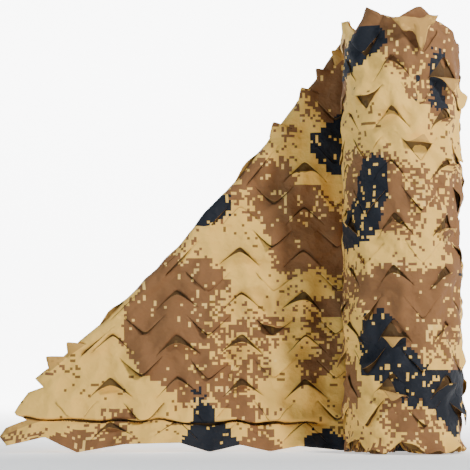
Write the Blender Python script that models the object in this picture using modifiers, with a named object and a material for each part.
"""Camouflage netting: die-cut cloth folded double and rolled up. The roll stands on its end, and the
loose end is pulled out from behind it to the left, with its hem on the ground and its upper part
folded over behind itself along a sagging ridge. Metres, +Z up, origin at the middle of the roll's foot.
"""

import math
import random

import bmesh
import bpy
import numpy as np
from mathutils import Vector, noise
from mathutils.geometry import delaunay_2d_cdt

# The roll
ROLL_RADIUS = 0.0985  # outside the last turn, without its tongues
LAP_STEP = 0.0055  # the last turn's double cloth
LAP_ANGLE = math.radians(97)  # where the last turn leaves the roll, at its back
LAP_BOW = 0.00002  # the unrolled turn's sides bow out by this, so that no three of their points line up
ROLL_ROWS = 24
ROLL_FILL = 0.0264  # between the side's free points, and how clear they keep of the lines
ROLL_CLEAR = 0.0132
ROLL_SWELL = 0.0022  # slow waves in the radius
SWELL_AROUND = 2.2  # how many of them go round, and up each metre
SWELL_UP = 9.0
SWELL_FADE = 6  # they grow from the lap over a turn divided by this
ROLL_HEIGHT = 0.717
TONGUES_ALONG = (0.045, math.tau * ROLL_RADIUS - 0.006)  # clear of the lap

# The top and bottom edge of the last turn, all the way round: V notches between tabs
EDGE_COLUMNS = ("degrees", "top", "bottom")
EDGE_TABLE = (
    (97, 0.712, 0.000),
    (112, 0.716, 0.004),
    (128, 0.694, 0.018),
    (141, 0.717, 0.001),
    (160, 0.708, 0.000),
    (180, 0.714, 0.001),
    (197, 0.712, 0.004),
    (219, 0.683, 0.024),
    (230, 0.716, 0.001),
    (248, 0.711, 0.000),
    (263, 0.701, 0.021),
    (272, 0.708, 0.009),
    (287, 0.717, 0.001),
    (300, 0.703, 0.000),
    (312, 0.701, 0.003),
    (326, 0.691, 0.000),
    (341, 0.672, 0.006),
    (354, 0.651, 0.001),
    (368, 0.668, 0.014),
    (380, 0.689, 0.002),
    (397, 0.702, 0.000),
    (412, 0.686, 0.017),
    (424, 0.710, 0.001),
    (441, 0.715, 0.000),
    (457, 0.712, 0.000),
)

# The wound ends
SPIRAL_PITCH = 0.0330  # the main turns that stand out from the finer ones
SPIRAL_DEPTH = 0.0080
WOUND_TOP = 0.703  # the middle height of the inner turns' upper edges
END_RINGS = 11
RING_MARGIN = 0.002  # the ends' rings keep this far inside the lap
RIM_BLEND = 8  # the power that keeps the rim's tabs to the outermost rings
RIM_DROP = 0.007  # how far the turn inside the last one sits below its edge
CORE_DEPTH = 0.022  # the hollow down the middle of the top
CORE_RADIUS = 0.020
FOOT_RADIUS = 0.080  # the part of the foot that rests flat
SHOULDER_DIRECTION = math.radians(350)  # the side on which the turns have slipped down
SHOULDER_DROP = 0.018

# The slits, in rows that repeat across and up the flat cloth
PITCH_ACROSS = 0.096
PITCH_UP = 0.086
SLIT_HALF_SPAN = 0.034
SLIT_RISE = 0.040
SLIT_ROUNDING = 0.007
VALLEY_DROP = 0.043  # from a peak's top down to the ends of the valleys beside it
FIRST_ROW = 0.25  # the top row of peaks stands this share of a pitch above the cloth's top
PULL_ACROSS = 1.13  # the loose end is pulled along its length, which narrows it
PULL_UP = 0.85
SLIT_STEPS = (-1.0, -0.5, 0.0, 0.5, 1.0)
GAPE_STEPS = (0.55, 0.0, -0.55)

# Tongues on the roll
EDGE_MARGIN = 0.007  # whole cloth between a slit and a cut edge
PEAK_LIFT = (0.003, 0.010)
PEAK_GAPE = (0.004, 0.014)
VALLEY_LIFT = (0.002, 0.008)
VALLEY_GAPE = (0.003, 0.006)
TONGUE_FALL = 0.6  # how much less a tongue stands out towards its ends

# The loose end
CLOTH_THICKNESS = 0.003  # two layers of cloth with their curled tongues
ROOT_GAP = 0.0009
RIDGE_END = (-0.612, 0.119)  # the far end of the ridge, across and up
RIDGE_SLOPE = 0.80
RIDGE_SAG = 0.605
RIDGE_RADIUS = 0.011
RIDGE_STEPS = 5
BACK_GAP = 0.015  # the folded-over part hangs this far behind the front
CLOSING_LENGTH = 0.080  # below the ridge's round, the distance in which it gets there
RIDGE_SEARCH = (-0.75, 0.25, 401)  # where along it the nearest place is first looked for
RIDGE_LINES = (-0.63, -0.05)  # the stretch of it that needs a round bend
FILL_SPACING = 0.022
FILL_CLEAR = 0.0121
EDGE_CLEAR = 0.0066
CUT_ACROSS = (-0.645, -0.030)  # where on the unfolded cloth slits are looked for
CUT_UP = (0.004, 0.720)
CUT_CLEAR = 0.008  # whole cloth between a gap and an edge or the ridge
CUT_GAPE = (0.005, 0.016)
CUT_SHARE = 0.62  # the share of peaks that gape enough to cut
TONGUE_LIFT = 0.007
BILLOW = 0.0045
BILLOW_WIDTH = 0.052
BILLOW_HEIGHT = 0.040
BILLOW_ROW = 3.1  # which of the noise's layers the domes come from
BILLOW_FADE = (0.060, 0.100)  # flat this near the roll, and growing over this far
LOWEST = 0.0017  # the middle of the cloth where it touches the ground
CREASE_HEIGHT = 0.057  # where the hem starts to flare out along the ground
LEAST_REACH = 0.020  # the least height from the crease to the ridge
LEAN_CURVE = 1.3  # above 1, the cloth bends more towards its crease
FLARE_CURVE = 1.2

# How deep the cloth stands at each place along its length: its ridge's depth, how far its crease
# stands before the ridge, how far its hem flares before the crease, and the hem's height
SECTION_COLUMNS = ("across", "ridge_depth", "lean", "flare", "hem_height")
SECTION_TABLE = (
    (-0.662, 0.049, 0.034, 0.041, 0.009),
    (-0.620, 0.052, 0.034, 0.040, 0.018),
    (-0.587, 0.054, 0.035, 0.036, 0.026),
    (-0.533, 0.058, 0.036, 0.040, 0.001),
    (-0.455, 0.063, 0.036, 0.036, 0.014),
    (-0.366, 0.068, 0.034, 0.036, 0.016),
    (-0.318, 0.071, 0.031, 0.038, 0.001),
    (-0.267, 0.074, 0.026, 0.032, 0.012),
    (-0.218, 0.077, 0.020, 0.031, 0.001),
    (-0.168, 0.080, 0.013, 0.024, 0.009),
    (-0.100, 0.087, 0.004, 0.013, 0.001),
    (-0.055, 0.0925, 0.001, 0.003, 0.001),
    (-0.012, 0.0978, 0.000, 0.000, 0.001),
)

# The main folds of the loose end, unfolded: soft ridges, and troughs where out is negative
FOLD_COLUMNS = ("across_low", "up_low", "across_high", "up_high", "half_width", "out")
FOLD_TABLE = (
    (-0.200, 0.080, -0.155, 0.270, 0.024, 0.009),
    (-0.140, 0.090, -0.122, 0.370, 0.018, -0.005),
    (-0.330, 0.260, -0.150, 0.540, 0.030, -0.005),
    (-0.265, 0.100, -0.300, 0.250, 0.026, -0.005),
    (-0.420, 0.070, -0.385, 0.230, 0.030, 0.008),
    (-0.545, 0.060, -0.475, 0.190, 0.026, -0.005),
    (-0.590, 0.300, -0.330, 0.480, 0.035, 0.014),
    (-0.470, 0.560, -0.250, 0.610, 0.030, 0.012),
)

FOLD_ENDS = 0.1  # a fold still stands out a little where it ends

# The cut end of the cloth where it shows, from the hem up to the ridge
END_COLUMNS = ("across", "up")
END_TABLE = (
    (-0.648, 0.002),
    (-0.661, 0.020),
    (-0.652, 0.036),
    (-0.620, 0.051),
    (-0.641, 0.068),
    (-0.621, 0.098),
    (-0.596, 0.107),
    (-0.618, 0.128),
)
FAR_CORNER = (-0.612, 0.620)  # the cloth's upper far corner, unfolded
HEM_ENDS = (-0.64, -0.02)  # the hem's own points lie between these
TABS = ((0.15, 0.0), (0.48, 0.15), (0.70, 1.0), (0.92, 0.0))  # along one pitch: share, notch share
NOTCH_DEPTH = 0.023
EDGE_SWAY = 0.004

ONLY_INSIDE = 1  # the triangulation keeps what lies inside its outline
CLOTH_COLOUR = (0.50, 0.36, 0.22, 1.0)
CLOTH_ROUGHNESS = 0.85
SEED = 11


def column(table, names, name):
    place = names.index(name)
    return [row[place] for row in table]


def eased(places, values, where):
    """The value at a place, with no corner at the rows between which it lies."""
    after = int(np.clip(np.searchsorted(places, where), 1, len(places) - 1))
    share = (where - places[after - 1]) / (places[after] - places[after - 1])
    share = min(max(share, 0.0), 1.0)
    share = share * share * (3 - 2 * share)
    return values[after - 1] + share * (values[after] - values[after - 1])


def slit_point(kind, centre, step, gape=0.0, pull=(1.0, 1.0)):
    """A point along a slit. step runs from -1 to 1, and gape moves it towards the tongue's root."""
    across = step * SLIT_HALF_SPAN
    full = math.hypot(SLIT_HALF_SPAN, SLIT_ROUNDING) - SLIT_ROUNDING
    fall = SLIT_RISE * (math.hypot(across, SLIT_ROUNDING) - SLIT_ROUNDING) / full
    down = fall + gape * (1 - step * step)
    sign = -1 if kind == "peak" else 1
    return (centre[0] + across * pull[0], centre[1] + sign * down * pull[1])


def slit_centres(across_range, up_range, pull=(1.0, 1.0)):
    """The tops of the peaks and the bottoms of the valleys in this part of the cloth."""
    pitch_across = PITCH_ACROSS * pull[0]
    pitch_up = PITCH_UP * pull[1]
    half_span = SLIT_HALF_SPAN * pull[0]
    rise = SLIT_RISE * pull[1]
    found = []
    for kind, shift, drop in (
        ("peak", 0.0, 0.0),
        ("valley", 0.5, (VALLEY_DROP + SLIT_RISE) * pull[1]),
    ):
        columns = int((across_range[1] - across_range[0]) / pitch_across) + 1
        rows = int((up_range[1] - up_range[0]) / pitch_up) + 2
        for i in range(columns + 1):
            for j in range(rows + 1):
                across = across_range[0] + (i + 0.5 + shift) * pitch_across
                up = up_range[1] + pitch_up * (FIRST_ROW - j) - drop
                low, high = (up - rise, up) if kind == "peak" else (up, up + rise)
                if across - half_span < across_range[0] or across + half_span > across_range[1]:
                    continue
                if low > up_range[0] and high < up_range[1]:
                    found.append((kind, (across, up)))
    return found


def inside(polygon, point):
    """Whether the point is inside the closed outline."""
    within = False
    for (x0, y0), (x1, y1) in zip(polygon, polygon[1:] + polygon[:1]):
        if (y0 > point[1]) != (y1 > point[1]):
            if point[0] < x0 + (point[1] - y0) / (y1 - y0) * (x1 - x0):
                within = not within
    return within


def nearest(points, point):
    """The distance from the point to the nearest of these."""
    away = np.asarray(points) - np.asarray(point)
    return float(np.sqrt((away * away).sum(axis=1)).min())


def fill_points(outline, fixed, spacing, clear):
    """Points on a triangular lattice inside the outline, clear of the fixed ones."""
    low = np.min(outline, axis=0)
    high = np.max(outline, axis=0)
    rise = spacing * math.sqrt(3) / 2
    found = []
    for j in range(int((high[1] - low[1]) / rise) + 1):
        for i in range(int((high[0] - low[0]) / spacing) + 1):
            point = (low[0] + (i + 0.5 * (j % 2)) * spacing, low[1] + j * rise)
            if inside(outline, point) and nearest(fixed, point) > clear:
                found.append(point)
    return found


def triangulated(outline, lines, holes, extra):
    """Points and triangles of the flat outline, and where each point given went. Every line and hole
    is an edge of the triangles."""
    points = []
    edges = []
    closed = [outline] + holes
    for line in closed + lines:
        first = len(points)
        points += line
        edges += [(first + k, first + k + 1) for k in range(len(line) - 1)]
        if line in closed:
            edges.append((first + len(line) - 1, first))
    points += extra
    given = [Vector(point) for point in points]
    found, _, faces, sources, *_ = delaunay_2d_cdt(given, edges, [], ONLY_INSIDE, 1e-7)
    kept = []
    for face in faces:
        middle = sum((found[k] for k in face), Vector((0, 0))) / len(face)
        if not any(inside(hole, middle) for hole in holes):
            kept.append(tuple(face))
    went = {points[source]: k for k, group in enumerate(sources) for source in group}
    return [tuple(point) for point in found], kept, went


# The roll

def roll_edge(angle, name):
    """The height of the last turn's top or bottom edge at this angle."""
    degrees = math.degrees(angle)
    places = column(EDGE_TABLE, EDGE_COLUMNS, "degrees")
    return float(np.interp(degrees, places, column(EDGE_TABLE, EDGE_COLUMNS, name)))


def roll_radius(angle):
    """The last turn's radius, which grows by the lap in one turn."""
    return ROLL_RADIUS - LAP_STEP * (1 - (angle - LAP_ANGLE) / math.tau)


def roll_swell(angle, up):
    """Slow unevenness of the wound cloth, none at the lap."""
    share = (angle - LAP_ANGLE) / math.tau
    around = SWELL_AROUND * math.cos(angle), SWELL_AROUND * math.sin(angle)
    wave = noise.noise(Vector((*around, SWELL_UP * up)))
    return ROLL_SWELL * wave * min(1.0, SWELL_FADE * share, SWELL_FADE * (1 - share))


def clear_of_edges(point):
    angle = LAP_ANGLE + point[0] / ROLL_RADIUS
    above = point[1] - roll_edge(angle, "bottom")
    below = roll_edge(angle, "top") - point[1]
    return min(above, below) > EDGE_MARGIN


def roll_tongues(rng):
    """Slit lines on the roll's flat cloth, and how far each of their points stands out."""
    lines = []
    lifts = {}
    for kind, centre in slit_centres(TONGUES_ALONG, (0.0, ROLL_HEIGHT)):
        lift_range, gape_range = (
            (PEAK_LIFT, PEAK_GAPE) if kind == "peak" else (VALLEY_LIFT, VALLEY_GAPE)
        )
        lift = rng.uniform(*lift_range)
        gape = rng.uniform(*gape_range)
        slit = [slit_point(kind, centre, step) for step in SLIT_STEPS]
        if not all(clear_of_edges(point) for point in slit):
            continue
        tongue = [slit_point(kind, centre, step, gape) for step in GAPE_STEPS]
        lines += [slit, tongue]
        for step, point in zip(GAPE_STEPS, tongue):
            lifts[point] = lift * (1 - TONGUE_FALL * step * step)
    return lines, lifts


def end_height(angle, radius, edge):
    """The height of the wound top: the turns spiral in, a little below the last turn's edge."""
    share = radius / ROLL_RADIUS
    spiral = SPIRAL_DEPTH * math.cos(math.tau * radius / SPIRAL_PITCH - angle)
    slipped = SHOULDER_DROP * share * max(0.0, math.cos(angle - SHOULDER_DIRECTION)) ** 2
    core = CORE_DEPTH * max(0.0, 1 - radius / CORE_RADIUS)
    near_rim = share**RIM_BLEND
    height = near_rim * (edge - RIM_DROP) + (1 - near_rim) * (WOUND_TOP - slipped)
    return height + spiral - core


def roll_side(bm, rng):
    """The last turn, unrolled, cut and wrapped. It returns its top and bottom edges, column by column."""
    places = [math.radians(degrees) for degrees in column(EDGE_TABLE, EDGE_COLUMNS, "degrees")]
    between = [0.5 * (before + after) for before, after in zip(places, places[1:])]
    angles = sorted(places + between)
    along = [ROLL_RADIUS * (angle - LAP_ANGLE) for angle in angles]
    bottom = [(s, roll_edge(angle, "bottom")) for s, angle in zip(along, angles)]
    top = [(s, roll_edge(angle, "top")) for s, angle in zip(along, angles)]
    rise = top[0][1] - bottom[0][1]
    shares = [k / ROLL_ROWS for k in range(1, ROLL_ROWS)]
    bows = [LAP_BOW * math.sin(math.pi * share) for share in shares]
    ends = [(along[-1] + bow, bottom[0][1] + rise * share) for share, bow in zip(shares, bows)]
    starts = [(along[0] - bow, bottom[0][1] + rise * share) for share, bow in zip(shares, bows)]
    outline = bottom + ends + top[::-1] + starts[::-1]
    lines, lifts = roll_tongues(rng)
    fixed = outline + [point for line in lines for point in line]
    extra = fill_points(outline, fixed, ROLL_FILL, ROLL_CLEAR)
    points, faces, went = triangulated(outline, lines, [], extra)
    raised = {went[point]: lift for point, lift in lifts.items()}
    verts = []
    for k, point in enumerate(points):
        angle = LAP_ANGLE + point[0] / ROLL_RADIUS
        radius = roll_radius(angle) + roll_swell(angle, point[1]) + raised.get(k, 0.0)
        verts.append(bm.verts.new((radius * math.cos(angle), radius * math.sin(angle), point[1])))
    for face in faces:
        bm.faces.new([verts[k] for k in face])

    def at(places):
        return [verts[went[place]] for place in places]

    first = at([bottom[0]] + starts + [top[0]])
    last = at([bottom[-1]] + ends + [top[-1]])
    for k in range(len(first) - 1):
        bm.faces.new((last[k], first[k], first[k + 1], last[k + 1]))
    return at(bottom), at(top), angles


def roll_end(bm, rim, angles, is_top):
    """A wound end: rings from the rim in, and a fan in the middle."""
    rings = []
    for k in range(1, END_RINGS):
        ring = []
        for angle in angles[:-1]:
            radius = (ROLL_RADIUS - LAP_STEP - RING_MARGIN) * (1 - (k - 0.6) / END_RINGS)
            if is_top:
                up = end_height(angle, radius, roll_edge(angle, "top"))
            elif radius < FOOT_RADIUS:
                up = 0.0
            else:
                up = 0.5 * roll_edge(angle, "bottom")
            ring.append(bm.verts.new((radius * math.cos(angle), radius * math.sin(angle), up)))
        rings.append(ring)
    middle = rings[-1]
    for outer, inner in zip([rim] + rings, rings):
        for k in range(len(inner)):
            after = (k + 1) % len(inner)
            beyond = outer[k + 1] if outer is rim else outer[after]
            bm.faces.new((outer[k], beyond, inner[after], inner[k]))
    bm.faces.new((rim[-1], rim[0], rings[0][0]))
    bm.faces.new(middle)


def make_roll(rng):
    bm = bmesh.new()
    bottom, top, angles = roll_side(bm, rng)
    roll_end(bm, top, angles, True)
    roll_end(bm, bottom, angles, False)
    bmesh.ops.recalc_face_normals(bm, faces=bm.faces)
    bmesh.ops.triangulate(bm, faces=bm.faces)
    return finished(bm, "roll")


# The loose end

def section(across, name):
    places = column(SECTION_TABLE, SECTION_COLUMNS, "across")
    return eased(places, column(SECTION_TABLE, SECTION_COLUMNS, name), across)


def ridge_height(across):
    past = across - RIDGE_END[0]
    return RIDGE_END[1] + RIDGE_SLOPE * past + RIDGE_SAG * past * past


def from_ridge(across, up):
    """The nearest point of the ridge, the way out of the cloth there, and the distance past it."""
    tries = np.linspace(*RIDGE_SEARCH)
    curve = np.array([(x, ridge_height(x)) for x in tries])
    away = np.hypot(curve[:, 0] - across, curve[:, 1] - up)
    nearest_x = tries[int(away.argmin())]
    for _ in range(4):
        slope = RIDGE_SLOPE + 2 * RIDGE_SAG * (nearest_x - RIDGE_END[0])
        miss = (across - nearest_x) + (up - ridge_height(nearest_x)) * slope
        nearest_x += miss / (1 + slope * slope)
    slope = RIDGE_SLOPE + 2 * RIDGE_SAG * (nearest_x - RIDGE_END[0])
    way = Vector((-slope, 1.0)).normalized()
    foot = Vector((nearest_x, ridge_height(nearest_x)))
    return foot, way, (Vector((across, up)) - foot).dot(way)


def front_depth(across, up):
    """The depth of the front of the loose end: it leans back from its crease to its ridge."""
    reach = max(ridge_height(across), CREASE_HEIGHT + LEAST_REACH)
    share = min(max((up - CREASE_HEIGHT) / (reach - CREASE_HEIGHT), 0.0), 1.0)
    hem = min(max(1 - up / CREASE_HEIGHT, 0.0), 1.0)
    lean = section(across, "lean") * (1 - share) ** LEAN_CURVE
    flare = section(across, "flare") * hem**FLARE_CURVE
    return section(across, "ridge_depth") - lean - flare


def billow(across, up):
    """Domes and hollows between the slits, fading out at the roll."""
    fade = min(1.0, max(0.0, -(across + BILLOW_FADE[0]) / BILLOW_FADE[1]))
    place = Vector((across / BILLOW_WIDTH, up / BILLOW_HEIGHT, BILLOW_ROW))
    return BILLOW * fade * noise.noise(place)


def folds(across, up):
    """How far the main folds push the cloth out here."""
    total = 0.0
    place = Vector((across, up))
    for row in FOLD_TABLE:
        fold = dict(zip(FOLD_COLUMNS, row))
        low = Vector((fold["across_low"], fold["up_low"]))
        line = Vector((fold["across_high"], fold["up_high"])) - low
        share = min(max((place - low).dot(line) / line.length_squared, 0.0), 1.0)
        beside = (place - low - line * share).length / fold["half_width"]
        swell = math.sin(math.pi * (FOLD_ENDS + (1 - 2 * FOLD_ENDS) * share))
        total += fold["out"] * math.exp(-beside * beside) * swell
    return total


def folded_point(across, up, lift):
    """A point of the unfolded cloth where it really is, folded over behind the ridge."""
    foot, way, past = from_ridge(across, up)
    turned = min(max(past / RIDGE_RADIUS + 1, 0.0), math.pi)
    inward = RIDGE_RADIUS * (math.sin(turned) - 1)
    if turned == 0.0:
        inward = past
    elif turned == math.pi:
        inward = -RIDGE_RADIUS - (past + RIDGE_RADIUS - math.pi * RIDGE_RADIUS)
    x, z = foot + way * inward
    closing = min(max((past + RIDGE_RADIUS - math.pi * RIDGE_RADIUS) / CLOSING_LENGTH, 0.0), 1.0)
    closing = closing * closing * (3 - 2 * closing)
    behind = RIDGE_RADIUS * (1 - math.cos(turned)) + (BACK_GAP - 2 * RIDGE_RADIUS) * closing
    depth = front_depth(x, z) + behind
    if z < CREASE_HEIGHT:
        hem = section(x, "hem_height")
        z = hem + (CREASE_HEIGHT - hem) * z / CREASE_HEIGHT
    bump = lift + billow(across, up) + folds(across, up)
    if turned > math.pi / 2:
        bump = -max(bump, 0.0) * math.sin(turned - math.pi / 2)
    else:
        bump *= math.cos(turned)
    return Vector((x, depth - bump, max(z, LOWEST)))


def ragged_edge(start, end, pitch, rng):
    """A cut edge through the slits, with a notch to the right of the way it runs at each of them."""
    start, end = Vector(start), Vector(end)
    way = (end - start).normalized()
    inward = Vector((way[1], -way[0]))
    count = int((end - start).length / pitch)
    points = []
    for k in range(count):
        for share, depth in TABS:
            along = (k + share) / count * (end - start).length
            sway = rng.uniform(-EDGE_SWAY, EDGE_SWAY)
            points.append(tuple(start + way * along + inward * (depth * NOTCH_DEPTH + sway)))
    return points


def loose_outline(rng):
    """The unfolded outline, from the root of the hem along it to the cut end and back along the top."""
    root = (ROLL_RADIUS - LAP_STEP / 2) * math.cos(LAP_ANGLE) - ROOT_GAP
    places = column(SECTION_TABLE, SECTION_COLUMNS, "across")
    hem_places = [x for x in places if HEM_ENDS[0] < x < HEM_ENDS[1]]
    hem = []
    for after, before in zip([root] + hem_places[::-1], hem_places[::-1]):
        hem += [(0.5 * (after + before), 0.0), (before, 0.0)]
    root_top = roll_edge(LAP_ANGLE, "top") - 0.001
    sides = [root_top * k / ROLL_ROWS for k in range(ROLL_ROWS, -1, -1)]
    rows = [(root + LAP_BOW * math.sin(math.pi * up / root_top), up) for up in sides]
    cut_end = ragged_edge(END_TABLE[-1], FAR_CORNER, PITCH_UP * PULL_UP, rng)
    top = ragged_edge(FAR_CORNER, (root, root_top), PITCH_ACROSS * PULL_ACROSS, rng)
    return hem + list(END_TABLE) + cut_end + top + rows


def ridge_lines(outline):
    """Lines along the bend, so that it comes out round."""
    lines = []
    for k in range(RIDGE_STEPS):
        past = RIDGE_RADIUS * (math.pi * k / (RIDGE_STEPS - 1) - 1)
        line = []
        for x in np.arange(*RIDGE_LINES, FILL_SPACING):
            slope = RIDGE_SLOPE + 2 * RIDGE_SAG * (x - RIDGE_END[0])
            way = Vector((-slope, 1.0)).normalized() * past
            point = (float(x) + way[0], ridge_height(float(x)) + way[1])
            if inside(outline, point) and nearest(outline, point) > EDGE_CLEAR:
                line.append(point)
        lines.append(line)
    return lines


def cut_gapes(outline, ridges, rng):
    """The gaping peaks as closed outlines, and how far the tongue under each stands out."""
    pull = (PULL_ACROSS, PULL_UP)
    blocked = outline + [point for line in ridges for point in line]
    holes = []
    lifts = {}
    for kind, centre in slit_centres(CUT_ACROSS, CUT_UP, pull):
        gape = rng.uniform(*CUT_GAPE)
        if kind != "peak" or rng.random() > CUT_SHARE:
            continue
        arch = [slit_point(kind, centre, step, 0.0, pull) for step in SLIT_STEPS]
        lip = [slit_point(kind, centre, step, gape, pull) for step in GAPE_STEPS]
        hole = arch + lip
        if not all(inside(outline, point) for point in hole):
            continue
        if min(nearest(blocked, point) for point in hole) < CUT_CLEAR:
            continue
        holes.append(hole)
        for point in lip:
            lifts[point] = TONGUE_LIFT * gape / CUT_GAPE[1]
    return holes, lifts


def make_loose_end(rng):
    outline = loose_outline(rng)
    ridges = ridge_lines(outline)
    holes, lifts = cut_gapes(outline, ridges, rng)
    fixed = outline + [point for line in ridges + holes for point in line]
    extra = fill_points(outline, fixed, FILL_SPACING, FILL_CLEAR)
    points, faces, went = triangulated(outline, ridges, holes, extra)
    raised = {went[point]: lift for point, lift in lifts.items()}
    bm = bmesh.new()
    verts = []
    for k, point in enumerate(points):
        verts.append(bm.verts.new(folded_point(point[0], point[1], raised.get(k, 0.0))))
    for face in faces:
        bm.faces.new([verts[k] for k in face])
    bmesh.ops.recalc_face_normals(bm, faces=bm.faces)
    made = finished(bm, "loose_end")
    solidify = made.modifiers.new("cloth", "SOLIDIFY")
    solidify.thickness = CLOTH_THICKNESS
    solidify.offset = 0.0
    return made


def cloth_material(name):
    material = bpy.data.materials.new(name)
    material.use_nodes = True
    shader = material.node_tree.nodes["Principled BSDF"]
    shader.inputs["Base Color"].default_value = CLOTH_COLOUR
    shader.inputs["Roughness"].default_value = CLOTH_ROUGHNESS
    shader.inputs["Metallic"].default_value = 0.0
    return material


def finished(bm, name):
    """The mesh as an object in the netting's collection, with its own material."""
    mesh = bpy.data.meshes.new(name)
    bm.to_mesh(mesh)
    bm.free()
    made = bpy.data.objects.new(name, mesh)
    mesh.materials.append(cloth_material(name + "_cloth"))
    bpy.data.collections["camouflage_netting"].objects.link(made)
    return made


def main():
    for old in list(bpy.data.objects):
        bpy.data.objects.remove(old)
    netting = bpy.data.collections.new("camouflage_netting")
    bpy.context.scene.collection.children.link(netting)
    rng = random.Random(SEED)
    make_roll(rng)
    make_loose_end(rng)


main()
